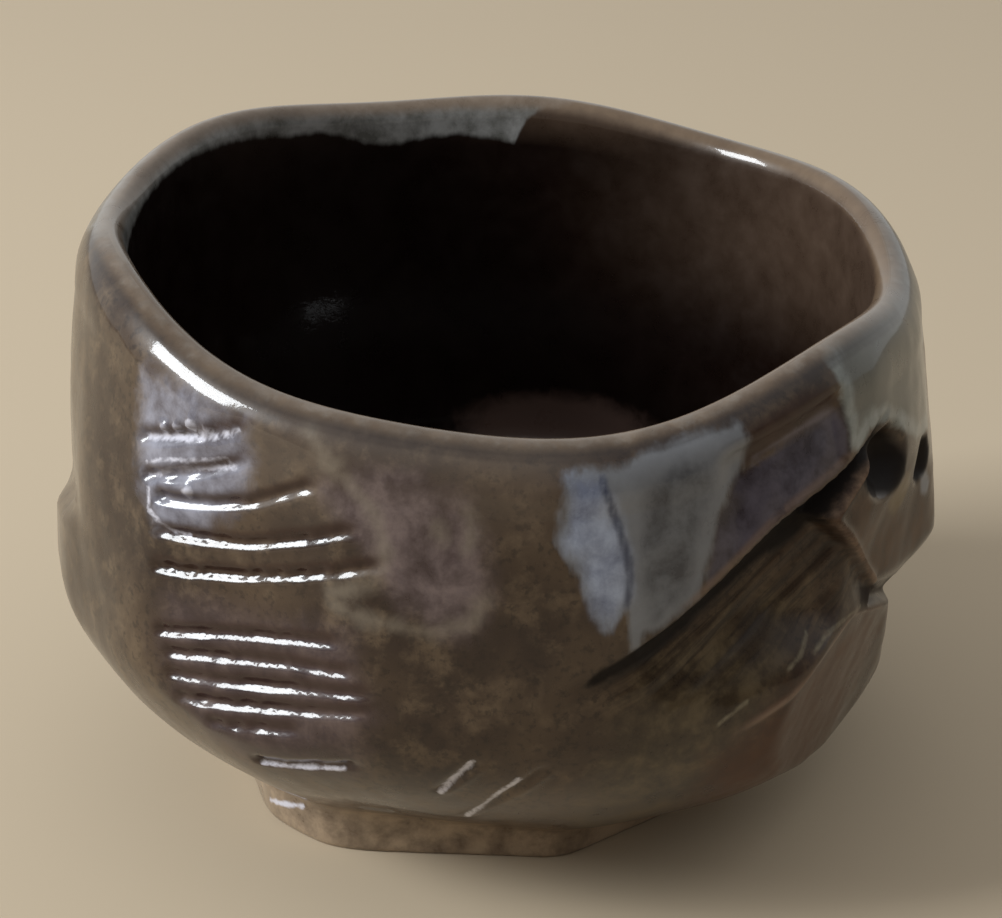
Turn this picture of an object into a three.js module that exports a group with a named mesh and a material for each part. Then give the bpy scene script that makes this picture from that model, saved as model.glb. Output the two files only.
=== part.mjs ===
import * as THREE from 'three';

// A small stoneware cup, thrown thick and then cut with a knife and combed while soft.
// It is one piece: the wall, the lip, the floor and the foot are one body of clay.
// Millimetres, +Z up. The origin is on the ground in the middle of the cup, and -Y is the front.
// A bearing is an angle in degrees from +X, counter-clockwise seen from above, so the front is -90.
// "Along" is the distance round the side in mm from the front, positive to the right.

// Lip: its crest is a slow wave, high at the back left and low at the front
const RIM_HEIGHT = 52.0;
const RIM_TILT = 4.1;
const RIM_TILT_AT = 118;
const RIM_WAVE_2 = 0.7;
const RIM_WAVE_2_AT = -10;
const RIM_WAVE_3 = 0.7;
const RIM_WAVE_3_AT = -35;
const RIM_WAVE_4 = 0.45;
const RIM_WAVE_4_AT = 41;
const RIM_WAVE_6 = 0.6;
const RIM_WAVE_6_AT = 21;

// Mouth: the outside of the lip seen from above, a little off centre and not quite round
const MOUTH_RADIUS = 39.3;
const MOUTH_SHIFT = 0.9;
const MOUTH_SHIFT_AT = 8;
const MOUTH_WAVE_3 = 0.55;
const MOUTH_WAVE_3_AT = 30;
const MOUTH_WAVE_4 = 0.27;
const MOUTH_WAVE_4_AT = 43;

// Roll of the lip
const LIP_THICKNESS = 4.7;
const LIP_OUTER_DROP = 5.5;
const LIP_INNER_DROP = 2.0;
const LIP_CREST_SHARE = 0.68;

// Body
const BELLY_RADIUS = 41.7;
const BELLY_HEIGHT = 23.5;
const BELLY_SHIFT = 0.4;
const LOWER_CURVE = 1.9;
const UPPER_CURVE = 1.5;
const LOWER_FULLNESS = 0.8;
const LOWER_FULLNESS_AT = -42;
const LOWER_FULLNESS_HALF_WIDTH = 55;

// Foot: an upright band cut flat on several sides, taller at the front left, hollowed a little below
const FOOT_RADIUS = 26.6;
const FOOT_HEIGHT = 2.9;
const FOOT_RISE = 2.1;
const FOOT_RISE_AT = -158;
const FOOT_FLARE = 0.1;
const FOOT_FLATS = [
  { at: -94, reach: 23.6 },
  { at: -168, reach: 24.4 },
  { at: -52, reach: 23.0 },
  { at: 0, reach: 24.2 },
  { at: 68, reach: 24.4 },
  { at: 128, reach: 24.6 },
];
const FOOT_BLEND = 1.6;
const FOOT_HOLLOW_RADIUS = 15.5;
const FOOT_HOLLOW_DEPTH = 1.2;
const FOOT_HOLLOW_BEVEL = 1.5;

// Inside: a plain bowl, a little wider under the lip, with a wall that thickens by the taper for each mm down
const BOWL_SWELL = 0.4;
const BOWL_TAPER = 0.05;
const BOWL_FLOOR = 8.0;
const BOWL_CURVE_HEIGHT = 13;
const BOWL_CURVE = 2.2;
const BOWL_SWELL_SHARE = 0.3;

// Flat shaves of the side: reach is the distance of the plane from the axis at height z,
// lean is how far it comes in for each mm higher
const SHAVES = [
  { at: -121, reach: 39.9, z: 25, lean: 0.085, blend: 0.5 },
  { at: -152, reach: 40.7, z: 30, lean: 0.04, blend: 0.8 },
  { at: 28, reach: 40.9, z: 26, lean: 0.05, blend: 1.0 },
  { at: 74, reach: 40.4, z: 26, lean: 0.05, blend: 1.0 },
  { at: 124, reach: 40.6, z: 26, lean: 0.05, blend: 1.0 },
];

// Left side: a shave that stops on a slanting shoulder
const SHOULDER_SHAVE = { at: -169, reach: 39.2, z: 32, lean: 0.03, blend: 0.8 };
const SHOULDER_LEFT = { along: -66, height: 25.5 };
const SHOULDER_RIGHT = { along: -36, height: 32.0 };
const SHOULDER_SOFTNESS = 3.0;

// Combed face at the front left: scored lines that rise together to the right
const COMB_MIDDLE = -22;
const COMB_SLOPE = 0.24;
const COMB_LINES = [
  { height: 15.8, left: -21.6, right: -12.6, depth: 0.4 },
  { height: 19.6, left: -25.6, right: -18.2, depth: 0.4 },
  { height: 22.5, left: -28.3, right: -11.6, depth: 0.45 },
  { height: 24.5, left: -29.5, right: -11.2, depth: 0.45 },
  { height: 26.3, left: -30.0, right: -12.6, depth: 0.45 },
  { height: 28.4, left: -30.6, right: -13.6, depth: 0.45 },
  { height: 33.9, left: -30.6, right: -10.2, depth: 0.5 },
  { height: 37.3, left: -30.4, right: -12.6, depth: 0.5 },
  { height: 40.8, left: -31.0, right: -16.6, depth: 0.48 },
  { height: 43.5, left: -32.9, right: -22.6, depth: 0.4 },
  { height: 46.2, left: -33.5, right: -23.0, depth: 0.34 },
];
const COMB_BELOW = 0.55;
const COMB_ABOVE = 1.15;
const COMB_FADE = 1.6;

// Knife cut across the front right, under a rising ledge
const LEDGE_START = { along: 5.9, height: 27.2 };
const LEDGE_SLOPE = 0.46;
const LEDGE_BULGE = 1.6;
const LEDGE_BULGE_AT = 25;
const LEDGE_BULGE_HALF_WIDTH = 12;
const CUT = { at: -55, reach: 38.9, z: 28, lean: 0.14, blend: 0.6 };
const CUT_FADE_LEFT = 3;
const CUT_FADE_RIGHT = 12;
const CUT_EDGE = 0.9;
const CUT_END = 39;
const CUT_END_FADE = 4;
const CUT_RUN_OUT_LEFT = 9;
const CUT_RUN_OUT_RIGHT = 3;
const CUT_RUN_OUT_FROM = 22;
const CUT_RUN_OUT_TO = 34;

// Lip of clay that overlaps the cut on its right, and the face below the hollow. It lies below one line
// and to the right of another, each given by a point and by its direction across, away from the flap.
const FLAP_SIDE = { along: 36, height: 32.4, across: [-0.72, -0.69] };
const FLAP_UPPER = { along: 32.6, height: 36.8, across: [-0.5, 0.86] };
const FLAP_FACE = { at: -29, reach: 39.6, z: 24, lean: 0, blend: 0.6 };
const FLAP_TOP = 30;
const FLAP_TOP_FADE = 9;
const FLAP_STEP = 0.6;
const FLAP_STEP_BLEND = 0.4;
const FLAP_EDGE = 1.2;

// Petal: the lower layer at the right, with a notch between it and the face above
const PETAL_START = { along: 20, height: 20.4 };
const PETAL_RISE = 0.33;
const PETAL_TURN = 37;
const PETAL_FALL = 0.35;
const PETAL_EDGE = 0.8;
const PETAL_FACES = [
  { at: -5, reach: 37.7, z: 17, lean: 0, blend: 0.6 },
  { at: -30, reach: 38.3, z: 20, lean: -0.24, blend: 0.6 },
];
const NOTCH_RADIUS = 37.4;
const NOTCH_SLOPE = 0.75;
const NOTCH_START = 38;
const NOTCH_END = 58;
const NOTCH_FADE = 5;
const NOTCH_END_FADE = 22;
const NOTCH_CLEAR = 6;

// Shallow four-sided cut above the ledge
const PANEL_LEFT = 20.5;
const PANEL_RIGHT = 34;
const PANEL_TOP_LEFT = 44.8;
const PANEL_TOP_RIGHT = 47.2;
const PANEL_DEPTH = 1.2;
const PANEL_RUN_OUT = 9;
const PANEL_TOP_EDGE = 0.9;
const PANEL_SIDE_EDGE = 1.5;
const PANEL_LEDGE_EDGE = 0.8;

// Finger-sized hollow and the small pit beside it; the share of each that is level before its wall starts
const HOLLOWS = [
  { along: 41.2, height: 38.5, half_width: 4.5, half_height: 3.7, depth: 2.6 },
  { along: 51.5, height: 34.8, half_width: 2.4, half_height: 2.6, depth: 1.0 },
];
const HOLLOW_LEVEL_SHARE = 0.15;

// How close to the crest the carving stops
const CARVE_STOP = 1.2;
const CARVE_FULL = 3.4;

// Radius that turns a bearing into a distance along the side
const ALONG_RADIUS = 41.0;

// Columns of faces: closest over the flap and the hollow, and widest on the plain back
const FRONT = -90;
const COLUMN_SPANS = [
  { from: -156, to: -50.7, count: 39 },
  { from: -50.7, to: -25.5, count: 14 },
  { from: -25.5, to: 6, count: 12 },
  { from: 6, to: 24, count: 4 },
  { from: 24, to: 204, count: 20 },
];

// Rings of faces: shares of the way from the top of the foot up to the lowest scored line, a height
// between the scored lines, and depths below the crest
const LOW_TOP = 13.2;
const LOW_SHARES = [0, 0.12, 0.3, 0.5, 0.75, 1];
const GAP_RINGS = [31.3];
const CREST_RINGS = [0.5, 0];
const LIP_TURNS = [115, 140, 180];
const BOWL_RINGS = [0.18, 0.4, 0.62, 0.78, 0.9, 0.97];
const COMB_FOLLOW = { from: -46, full: -34, low_end: -8, high_end: -23, fade: 12, foot: 8, foot_full: 15 };
const COMB_FOLLOW_HIGH_FROM = 36;
const COMB_FOLLOW_HIGH_TO = 47;

// Rings that run along an edge of the carving, counted from the foot, and how far round they do so
const SHOULDER_RING = 27;
const SHOULDER_FOLLOW = { from: -95, full: -75, full_to: -46, to: -36 };
const PETAL_RING = 12;
const PETAL_RING_LOWEST = 16;
const LEDGE_RING = 25;
const LEDGE_RING_HIGHEST = 43;
const PANEL_RING = 34;
const PANEL_RING_BELOW_RIM = 2.5;
const CUT_FOLLOW = { from: -6, full: 5, full_to: 62, to: 85 };

const RAD = Math.PI / 180;
const LEAST_COSINE = 0.2;

const clamp01 = (x) => Math.min(1, Math.max(0, x));
const mix = (a, b, t) => a + (b - a) * t;
const wrap = (degrees) => ((((degrees + 180) % 360) + 360) % 360) - 180;
const wave = (bearing, count, size, at) => size * Math.cos(RAD * count * (bearing - at));
const along = (bearing) => ALONG_RADIUS * RAD * wrap(bearing - FRONT);

function smooth(from, to, x) {
  const t = clamp01((x - from) / (to - from));
  return t * t * (3 - 2 * t);
}

function bump(x, halfWidth) {
  return smooth(0, 1, 1 - Math.abs(x) / halfWidth);
}

// The smaller of two radii, with the corner between them rounded off
function smoothMin(a, b, blend) {
  const h = clamp01(0.5 + (0.5 * (b - a)) / blend);
  return b + (a - b) * h - blend * h * (1 - h);
}

// Cuts a radius back to a flat face. Far round the side the face is out of reach, so the cosine has a floor.
function shave(radius, face, bearing, z) {
  const turn = Math.max(Math.cos(RAD * wrap(bearing - face.at)), LEAST_COSINE);
  return smoothMin(radius, (face.reach - face.lean * (z - face.z)) / turn, face.blend);
}

function rimHeight(bearing) {
  return RIM_HEIGHT
    + wave(bearing, 1, RIM_TILT, RIM_TILT_AT)
    + wave(bearing, 2, RIM_WAVE_2, RIM_WAVE_2_AT)
    + wave(bearing, 3, RIM_WAVE_3, RIM_WAVE_3_AT)
    + wave(bearing, 4, RIM_WAVE_4, RIM_WAVE_4_AT)
    + wave(bearing, 6, RIM_WAVE_6, RIM_WAVE_6_AT);
}

function mouthRadius(bearing) {
  return MOUTH_RADIUS
    + wave(bearing, 1, MOUTH_SHIFT, MOUTH_SHIFT_AT)
    + wave(bearing, 3, MOUTH_WAVE_3, MOUTH_WAVE_3_AT)
    + wave(bearing, 4, MOUTH_WAVE_4, MOUTH_WAVE_4_AT);
}

function crestRadius(bearing) {
  return mouthRadius(bearing) - LIP_CREST_SHARE * LIP_THICKNESS;
}

function footHeight(bearing) {
  return FOOT_HEIGHT + wave(bearing, 1, FOOT_RISE, FOOT_RISE_AT);
}

function footRadius(bearing, z) {
  let radius = FOOT_RADIUS;
  for (const flat of FOOT_FLATS) {
    radius = shave(radius, { at: flat.at, reach: flat.reach, z: 0, lean: 0, blend: FOOT_BLEND }, bearing, z);
  }
  return radius + FOOT_FLARE * Math.min(z, footHeight(bearing));
}

// The thrown outside, before any carving, up to the crest of the lip
function thrownRadius(bearing, z) {
  const belly = BELLY_RADIUS + wave(bearing, 1, BELLY_SHIFT, 0);
  const lipStart = rimHeight(bearing) - LIP_OUTER_DROP;
  let radius;
  if (z < BELLY_HEIGHT) {
    const foot = footHeight(bearing);
    const below = clamp01((BELLY_HEIGHT - z) / (BELLY_HEIGHT - foot));
    const fuller = LOWER_FULLNESS * bump(wrap(bearing - LOWER_FULLNESS_AT), LOWER_FULLNESS_HALF_WIDTH);
    radius = mix(belly, footRadius(bearing, z), below ** (LOWER_CURVE + fuller));
  } else {
    const above = clamp01((z - BELLY_HEIGHT) / (lipStart - BELLY_HEIGHT));
    radius = mix(belly, mouthRadius(bearing), above ** UPPER_CURVE);
  }
  const roll = clamp01((z - lipStart) / LIP_OUTER_DROP);
  return mix(crestRadius(bearing), radius, Math.sqrt(1 - roll * roll));
}

const ledgeHeight = (x) => LEDGE_START.height
  + LEDGE_SLOPE * (x - LEDGE_START.along)
  + LEDGE_BULGE * bump(x - LEDGE_BULGE_AT, LEDGE_BULGE_HALF_WIDTH);

const petalHeight = (x) => PETAL_START.height
  + PETAL_RISE * (Math.min(Math.max(x, PETAL_START.along), PETAL_TURN) - PETAL_START.along)
  - PETAL_FALL * Math.max(x - PETAL_TURN, 0);

const shoulderHeight = (x) => mix(
  SHOULDER_LEFT.height,
  SHOULDER_RIGHT.height,
  (x - SHOULDER_LEFT.along) / (SHOULDER_RIGHT.along - SHOULDER_LEFT.along),
);

const combHeight = (line, x) => line.height + COMB_SLOPE * (x - COMB_MIDDLE);

function combDepth(x, z) {
  let depth = 0;
  for (const line of COMB_LINES) {
    const above = z - combHeight(line, x);
    const started = smooth(line.left - COMB_FADE, line.left, x);
    const ended = smooth(line.right, line.right + COMB_FADE, x);
    depth += line.depth * started * (1 - ended) * bump(above, above < 0 ? COMB_BELOW : COMB_ABOVE);
  }
  return depth;
}

// Left side: shaved above the shoulder only
function shoulder(radius, bearing, x, z) {
  const above = smooth(0, SHOULDER_SOFTNESS, z - shoulderHeight(x));
  return mix(radius, shave(radius, SHOULDER_SHAVE, bearing, z), above);
}

function beyond(line, x, z) {
  return line.across[0] * (x - line.along) + line.across[1] * (z - line.height);
}

// 1 inside the knife cut and 0 outside it
function cutShare(x, z) {
  const overPetal = z - petalHeight(x);
  const runOut = mix(CUT_RUN_OUT_LEFT, CUT_RUN_OUT_RIGHT, smooth(CUT_RUN_OUT_FROM, CUT_RUN_OUT_TO, x));
  const offFlap = Math.max(beyond(FLAP_SIDE, x, z), beyond(FLAP_UPPER, x, z));
  return smooth(0, CUT_EDGE, ledgeHeight(x) - z)
    * smooth(-FLAP_EDGE, FLAP_EDGE, offFlap)
    * smooth(0, runOut, overPetal)
    * smooth(CUT_FADE_LEFT, CUT_FADE_RIGHT, x)
    * (1 - smooth(CUT_END, CUT_END + CUT_END_FADE, x));
}

// Right side: the petal, the notch, the face over it and the knife cut under the ledge
function rightSide(radius, bearing, x, z) {
  const overPetal = z - petalHeight(x);
  const clear = NOTCH_CLEAR * (1 - smooth(NOTCH_START, NOTCH_START + NOTCH_FADE, x)
    + smooth(NOTCH_END, NOTCH_END + NOTCH_END_FADE, x));
  const flat = shave(radius, FLAP_FACE, bearing, z);
  const face = smoothMin(
    mix(flat, radius, smooth(FLAP_TOP, FLAP_TOP + FLAP_TOP_FADE, z)),
    NOTCH_RADIUS + NOTCH_SLOPE * Math.max(overPetal, 0) + clear,
    FLAP_FACE.blend,
  );
  const petal = PETAL_FACES.reduce((r, plane) => shave(r, plane, bearing, z), radius);
  const uncut = mix(petal, face, smooth(-PETAL_EDGE, PETAL_EDGE, overPetal));
  const cut = smoothMin(shave(radius, CUT, bearing, z), face - FLAP_STEP, FLAP_STEP_BLEND);
  return mix(uncut, cut, cutShare(x, z));
}

const panelTop = (x) => mix(PANEL_TOP_LEFT, PANEL_TOP_RIGHT, (x - PANEL_LEFT) / (PANEL_RIGHT - PANEL_LEFT));

function panelDepth(x, z) {
  const below = panelTop(x) - z;
  return PANEL_DEPTH
    * smooth(0, PANEL_TOP_EDGE, below)
    * clamp01(1 - below / PANEL_RUN_OUT)
    * smooth(0, PANEL_LEDGE_EDGE, z - ledgeHeight(x))
    * smooth(-PANEL_SIDE_EDGE, PANEL_SIDE_EDGE, x - PANEL_LEFT)
    * smooth(-PANEL_SIDE_EDGE, PANEL_SIDE_EDGE, PANEL_RIGHT - x);
}

function hollowDepth(x, z) {
  let depth = 0;
  for (const hollow of HOLLOWS) {
    const away = Math.hypot((x - hollow.along) / hollow.half_width, (z - hollow.height) / hollow.half_height);
    depth += hollow.depth * (1 - smooth(HOLLOW_LEVEL_SHARE, 1, away));
  }
  return depth;
}

// The finished outside
function outerRadius(bearing, z) {
  const thrown = thrownRadius(bearing, z);
  const x = along(bearing);
  let radius = SHAVES.reduce((r, face) => shave(r, face, bearing, z), thrown);
  radius = shoulder(radius, bearing, x, z);
  radius = rightSide(radius, bearing, x, z);
  radius -= combDepth(x, z) + panelDepth(x, z) + hollowDepth(x, z);
  return mix(thrown, radius, smooth(CARVE_STOP, CARVE_FULL, rimHeight(bearing) - z));
}

// The inside wall, from under the lip down to the floor; down runs from 0 to 1
function innerPoint(bearing, down) {
  const start = rimHeight(bearing) - LIP_INNER_DROP;
  const z = mix(start, BOWL_FLOOR, down);
  const rise = clamp01((z - BOWL_FLOOR) / BOWL_CURVE_HEIGHT);
  const swell = BOWL_SWELL * smooth(0, BOWL_SWELL_SHARE, down);
  const wall = mouthRadius(bearing) - LIP_THICKNESS + swell - BOWL_TAPER * (start - z);
  return [wall * (1 - (1 - rise) ** BOWL_CURVE) ** (1 / BOWL_CURVE), z];
}

function lipPoint(bearing, turn) {
  const half = (1 - LIP_CREST_SHARE) * LIP_THICKNESS;
  return [
    crestRadius(bearing) + half * Math.cos(RAD * turn),
    rimHeight(bearing) - LIP_INNER_DROP * (1 - Math.sin(RAD * turn)),
  ];
}

// A ring is a function from a bearing to [radius, height]. The rings are listed round the section:
// the underside from its middle out, the outside up, the lip over, and the inside down to the floor.

function undersideRings() {
  const bevel = FOOT_HOLLOW_RADIUS + FOOT_HOLLOW_BEVEL;
  return [
    () => [FOOT_HOLLOW_RADIUS, FOOT_HOLLOW_DEPTH],
    () => [bevel, 0],
    (bearing) => [footRadius(bearing, 0), 0],
  ];
}

// Heights of the outside rings where they cross the combed face. Each scored line has its own ring
// at its bottom and one at each edge, and plain rings fill what lies between.
function combedHeights() {
  const heights = [...LOW_SHARES.map((share) => share * LOW_TOP), ...GAP_RINGS];
  for (const line of COMB_LINES) {
    heights.push(line.height - COMB_BELOW, line.height, line.height + COMB_ABOVE);
  }
  return heights.sort((a, b) => a - b);
}

// Height of a ring that lies between two rings whose heights are known; a knot is [ring, height]
function between(knots, ring) {
  const upper = Math.max(knots.findIndex(([at]) => at >= ring), 1);
  const [lowerRing, lowerHeight] = knots[upper - 1];
  const [upperRing, upperHeight] = knots[upper];
  return mix(lowerHeight, upperHeight, (ring - lowerRing) / (upperRing - lowerRing));
}

const within = (span, x) => smooth(span.from, span.full, x) * (1 - smooth(span.full_to, span.to, x));

function shoulderRings(x, bearing, last) {
  return [
    [LOW_SHARES.length - 1, LOW_TOP],
    [SHOULDER_RING, shoulderHeight(x)],
    [SHOULDER_RING + 1, shoulderHeight(x) + SHOULDER_SOFTNESS],
    [last, rimHeight(bearing) - CARVE_STOP],
  ];
}

function cutRings(x, bearing, last) {
  const rim = rimHeight(bearing);
  const petal = Math.max(petalHeight(x), PETAL_RING_LOWEST);
  const ledge = Math.min(ledgeHeight(x), LEDGE_RING_HIGHEST);
  const panel = Math.min(panelTop(x), rim - PANEL_RING_BELOW_RIM);
  return [
    [LOW_SHARES.length - 1, LOW_TOP],
    [PETAL_RING, petal - PETAL_EDGE],
    [PETAL_RING + 1, petal + PETAL_EDGE],
    [LEDGE_RING, ledge - CUT_EDGE],
    [LEDGE_RING + 1, ledge],
    [PANEL_RING, panel - PANEL_TOP_EDGE],
    [PANEL_RING + 1, panel],
    [last, rim - CARVE_STOP],
  ];
}

// Rings follow the scored lines across the combed face, the shoulder at the left, and the petal, the
// ledge and the panel at the right. Everywhere else they keep to their share of the height.
function ringHeight(height, ring, last, bearing) {
  const x = along(bearing);
  const stretch = rimHeight(bearing) / rimHeight(FRONT + COMB_MIDDLE / ALONG_RADIUS / RAD);
  if (ring < LOW_SHARES.length) {
    return mix(footHeight(bearing), stretch * LOW_TOP, LOW_SHARES[ring]);
  }
  const combed = height + COMB_SLOPE * (x - COMB_MIDDLE);
  const { from, full, low_end, high_end, fade, foot, foot_full } = COMB_FOLLOW;
  const end = mix(low_end, high_end, smooth(COMB_FOLLOW_HIGH_FROM, COMB_FOLLOW_HIGH_TO, height));
  const near = smooth(from, full, x) * (1 - smooth(end, end + fade, x)) * smooth(foot, foot_full, height);
  let z = mix(stretch * height, combed, near);
  z = mix(z, between(shoulderRings(x, bearing, last), ring), within(SHOULDER_FOLLOW, x));
  return mix(z, between(cutRings(x, bearing, last), ring), within(CUT_FOLLOW, x));
}

function outsideRings() {
  const heights = combedHeights();
  const rings = heights.map((height, ring) => (bearing) => {
    const z = ringHeight(height, ring, heights.length - 1, bearing);
    return [outerRadius(bearing, z), z];
  });
  for (const below of CREST_RINGS) {
    rings.push((bearing) => {
      const z = rimHeight(bearing) - below;
      return [outerRadius(bearing, z), z];
    });
  }
  return rings;
}

function insideRings() {
  const lip = LIP_TURNS.map((turn) => (bearing) => lipPoint(bearing, turn));
  const bowl = BOWL_RINGS.map((down) => (bearing) => innerPoint(bearing, down));
  return [...lip, ...bowl];
}

function columnBearings() {
  const bearings = [];
  for (const { from, to, count } of COLUMN_SPANS) {
    for (let column = 0; column < count; column += 1) {
      bearings.push(mix(from, to, column / count));
    }
  }
  return bearings;
}

// Rings of points all round the section, from the middle of the underside to the middle of the floor
function cupGeometry() {
  const bearings = columnBearings();
  const rings = [...undersideRings(), ...outsideRings(), ...insideRings()];
  const section = rings.map((ring) => bearings.map(ring));
  const positions = [0, 0, FOOT_HOLLOW_DEPTH];
  for (const points of section) {
    points.forEach(([radius, z], column) => {
      const turn = RAD * bearings[column];
      positions.push(radius * Math.cos(turn), radius * Math.sin(turn), z);
    });
  }
  positions.push(0, 0, BOWL_FLOOR);

  const count = bearings.length;
  const last = rings.length - 1;
  const floorMiddle = 1 + rings.length * count;
  const vertex = (ring, column) => 1 + ring * count + column;
  const faces = [];
  for (let column = 0; column < count; column += 1) {
    const next = (column + 1) % count;
    faces.push(0, vertex(0, next), vertex(0, column));
    for (let ring = 0; ring < last; ring += 1) {
      const above = ring + 1;
      const corners = [vertex(ring, column), vertex(ring, next), vertex(above, next), vertex(above, column)];
      // Each four-sided cell is split along the diagonal that runs more level in depth
      const rising = Math.abs(section[ring][column][0] - section[above][next][0]);
      const falling = Math.abs(section[ring][next][0] - section[above][column][0]);
      const order = rising <= falling ? [0, 1, 2, 0, 2, 3] : [0, 1, 3, 1, 2, 3];
      faces.push(...order.map((corner) => corners[corner]));
    }
    faces.push(floorMiddle, vertex(last, column), vertex(last, next));
  }

  const geometry = new THREE.BufferGeometry();
  geometry.setAttribute('position', new THREE.Float32BufferAttribute(positions, 3));
  geometry.setIndex(faces);
  geometry.computeVertexNormals();
  return geometry;
}

const glaze = new THREE.MeshStandardMaterial({ color: 0x3a2c20, roughness: 0.16, metalness: 0 });

const sakeCup = new THREE.Group();
const cup = new THREE.Mesh(cupGeometry(), glaze);
cup.name = 'sake_cup';
sakeCup.add(cup);

export default sakeCup;
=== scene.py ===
"""Looks of a small stoneware cup, thrown thick, cut with a knife and combed while soft.

Sizes are in millimetres and are turned into metres when the mesh is made. A bearing is an angle in
degrees from +X, counter-clockwise seen from above, so the front is -90. "Along" is the distance round
the side from the front, positive to the right.
"""

import math

import bpy
import numpy as np
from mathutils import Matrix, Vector


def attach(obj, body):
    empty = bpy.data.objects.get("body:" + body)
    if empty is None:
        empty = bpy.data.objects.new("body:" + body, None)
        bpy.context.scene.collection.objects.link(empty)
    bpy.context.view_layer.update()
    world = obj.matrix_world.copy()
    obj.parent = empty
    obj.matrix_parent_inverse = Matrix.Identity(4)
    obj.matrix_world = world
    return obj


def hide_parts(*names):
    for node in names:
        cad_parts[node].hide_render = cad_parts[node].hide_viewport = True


MM = 0.001
RAD = math.pi / 180
ALONG_RADIUS = 41.0

# Lip
RIM_HEIGHT = 52.0
RIM_WAVES = [(1, 4.1, 118), (2, 0.7, -10), (3, 0.7, -35), (4, 0.45, 41), (6, 0.6, 21)]
MOUTH_RADIUS = 39.3
MOUTH_WAVES = [(1, 0.9, 8), (3, 0.55, 30), (4, 0.27, 43)]
LIP_THICKNESS = 4.7
LIP_OUTER_DROP = 5.5
LIP_INNER_DROP = 2.0
LIP_CREST_SHARE = 0.68

# Body
BELLY_RADIUS = 41.7
BELLY_HEIGHT = 23.5
BELLY_SHIFT = 0.4
LOWER_CURVE = 1.9
UPPER_CURVE = 1.5
LOWER_FULLNESS = 0.8
LOWER_FULLNESS_AT = -42
LOWER_FULLNESS_HALF_WIDTH = 55

# Foot: flats are (bearing, reach)
FOOT_RADIUS = 26.6
FOOT_HEIGHT = 2.9
FOOT_RISE = 2.1
FOOT_RISE_AT = -158
FOOT_FLARE = 0.1
FOOT_FLATS = [(-94, 23.6), (-168, 24.4), (-52, 23.0), (0, 24.2), (68, 24.4), (128, 24.6)]
FOOT_BLEND = 1.6
FOOT_HOLLOW_RADIUS = 15.5
FOOT_HOLLOW_DEPTH = 1.2
FOOT_HOLLOW_BEVEL = 1.5
FOOT_EDGE = 0.4
FOOT_FILLET = 1.2

# Inside
BOWL_SWELL = 0.4
BOWL_TAPER = 0.05
BOWL_FLOOR = 8.0
BOWL_CURVE_HEIGHT = 13
BOWL_CURVE = 2.2
BOWL_SWELL_SHARE = 0.3

# Flat shaves: bearing, reach at height z, how far it comes in for each mm higher, rounding
SHAVES = [
    (-121, 39.9, 25, 0.085, 0.4),
    (-152, 40.7, 30, 0.04, 0.8),
    (28, 40.9, 26, 0.05, 1.0),
    (74, 40.4, 26, 0.05, 1.0),
    (124, 40.6, 26, 0.05, 1.0),
]
SHOULDER_SHAVE = (-169, 39.2, 32, 0.03, 0.8)
SHOULDER_LEFT = (-66, 25.5)
SHOULDER_RIGHT = (-36, 32.0)
SHOULDER_SOFTNESS = 2.4

# Scored lines: height in the middle, slope, left end, right end, depth, how far the middle sags
COMB_MIDDLE = -22
COMB_LINES = [
    (15.8, 0.23, -21.6, -12.6, 0.5, 0.1),
    (19.7, 0.18, -25.6, -17.6, 0.45, 0.1),
    (21.8, 0.19, -28.9, -10.9, 0.45, 0.25),
    (23.8, 0.17, -30.0, -10.9, 0.45, 0.2),
    (25.7, 0.16, -30.1, -12.4, 0.45, -0.1),
    (27.9, 0.19, -31.1, -13.8, 0.45, -0.1),
    (33.9, 0.22, -31.4, -10.2, 0.5, 0.55),
    (37.1, 0.21, -31.0, -12.4, 0.5, 0.9),
    (40.6, 0.26, -31.6, -16.2, 0.48, 0.9),
    (43.2, 0.32, -33.4, -23.4, 0.5, 0.3),
    (46.1, 0.28, -34.2, -23.2, 0.55, 0.1),
]
COMB_BELOW = 0.5
COMB_BELOW_HIGH = 0.75
COMB_ABOVE = 1.15
COMB_HIGH = (38, 46)
COMB_FADE = 1.0
COMB_WANDER = 0.07
COMB_WANDER_SIZE = 3.0
COMB_WANDER_SEED = 40
COMB_UNEVEN = 0.3
COMB_UNEVEN_SIZE = 1.2
COMB_UNEVEN_SEED = 60
COMB_LEFT_DEPTH = 1.15
COMB_RIGHT_DEPTH = 0.75
# Painted shade along the upper side of each scored line
COMB_DARK_ABOVE = 0.6
COMB_DARK_HALF_WIDTH = 1.0

# Knife cut under its rising ledge
LEDGE_START = (5.9, 27.2)
LEDGE_SLOPE = 0.46
LEDGE_BULGE = 1.6
LEDGE_BULGE_AT = 25
LEDGE_BULGE_HALF_WIDTH = 12
CUT = (-55, 38.9, 28, 0.14, 0.6)
CUT_FADE_LEFT = 3
CUT_FADE_RIGHT = 12
CUT_EDGE = 0.9
CUT_END = 39
CUT_END_FADE = 4
CUT_RUN_OUT_LEFT = 9
CUT_RUN_OUT_RIGHT = 3
CUT_RUN_OUT_SPAN = (22, 34)
CUT_BLEND = 0.4
CUT_STREAK = 0.11
CUT_STREAK_SIZE = 2.6
CUT_STREAK_SEED = 7

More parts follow.
